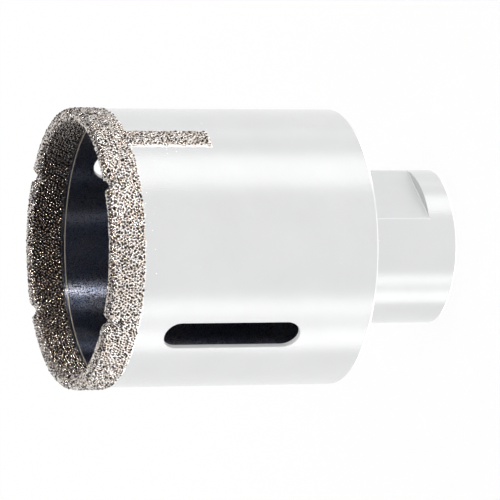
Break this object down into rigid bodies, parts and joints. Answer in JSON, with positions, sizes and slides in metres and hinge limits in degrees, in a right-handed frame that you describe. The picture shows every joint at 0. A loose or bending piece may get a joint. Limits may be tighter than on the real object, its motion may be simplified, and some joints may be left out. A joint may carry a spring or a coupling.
{
  "type": "diamond core bit",
  "caption": "Tubular diamond core bit for an angle grinder: grit-coated notched mouth, side strips, slotted steel barrel and threaded hub with spanner flats.",
  "frame": {"origin": "centre of the hub's end face, on the bit's axis, which is the bottom of the standing bit", "axes": "+Z along the bit's axis from the hub to the cutting mouth; the strips and spanner flats face X and the slots face Y"},
  "size_m": [0.051, 0.051, 0.0697],
  "materials": {
    "barrel_steel": "finely turned, satin",
    "hub_steel": "turned and milled, satin",
    "diamond_grit": "rough, diamond grains in bright braze"
  },
  "bodies": {
    "root": {"barrel": "barrel_steel", "hub": "hub_steel", "diamond_rim": "diamond_grit", "diamond_strip_1": "diamond_grit", "diamond_strip_2": "diamond_grit"}
  },
  "joints": []
}
